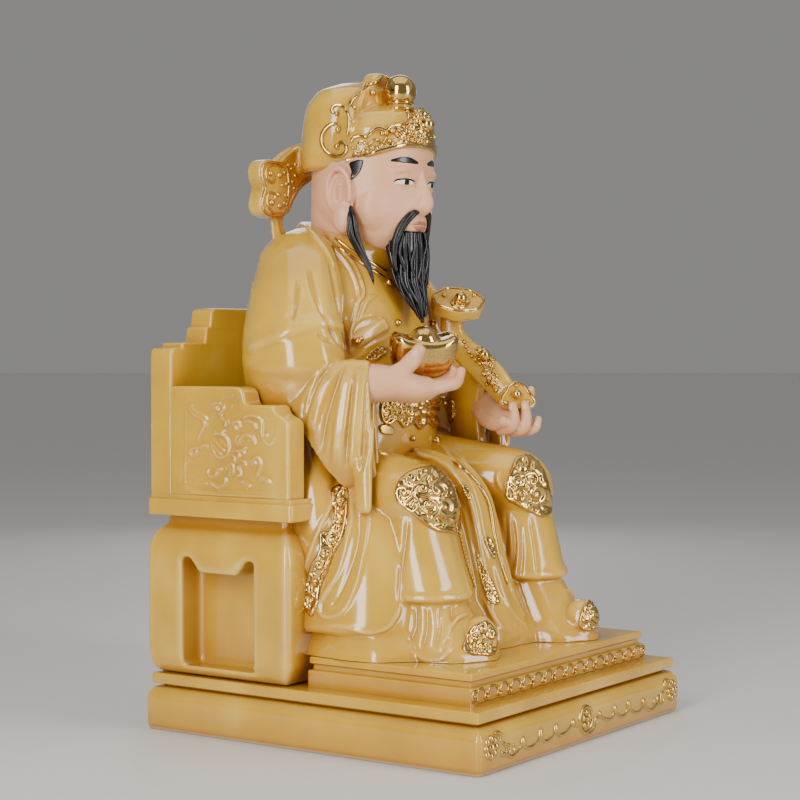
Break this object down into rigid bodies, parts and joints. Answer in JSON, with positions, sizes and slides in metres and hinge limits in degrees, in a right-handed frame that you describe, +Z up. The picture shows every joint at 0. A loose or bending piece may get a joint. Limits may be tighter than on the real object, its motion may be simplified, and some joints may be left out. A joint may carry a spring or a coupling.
{
  "type": "caishen figure",
  "caption": "Seated wealth-god figure on a square throne and stepped plinth, holding an ingot and a ruyi sceptre; stands on its flat underside.",
  "frame": {"origin": "centre of the plinth's underside", "axes": "+Z up, the figure faces -Y, its right hand is on the -X side"},
  "size_m": [0.233, 0.2366, 0.4042],
  "materials": {
    "jade_resin": "polished, slightly translucent yellow imitation jade",
    "gilding": "mirror gilding over relief",
    "flesh_paint": "satin flesh paint",
    "hair_paint": "gloss black paint"
  },
  "bodies": {
    "root": {"plinth": "jade_resin", "throne": "jade_resin", "figure": "jade_resin", "ingot": "gilding", "ruyi_sceptre": "jade_resin"}
  },
  "joints": []
}
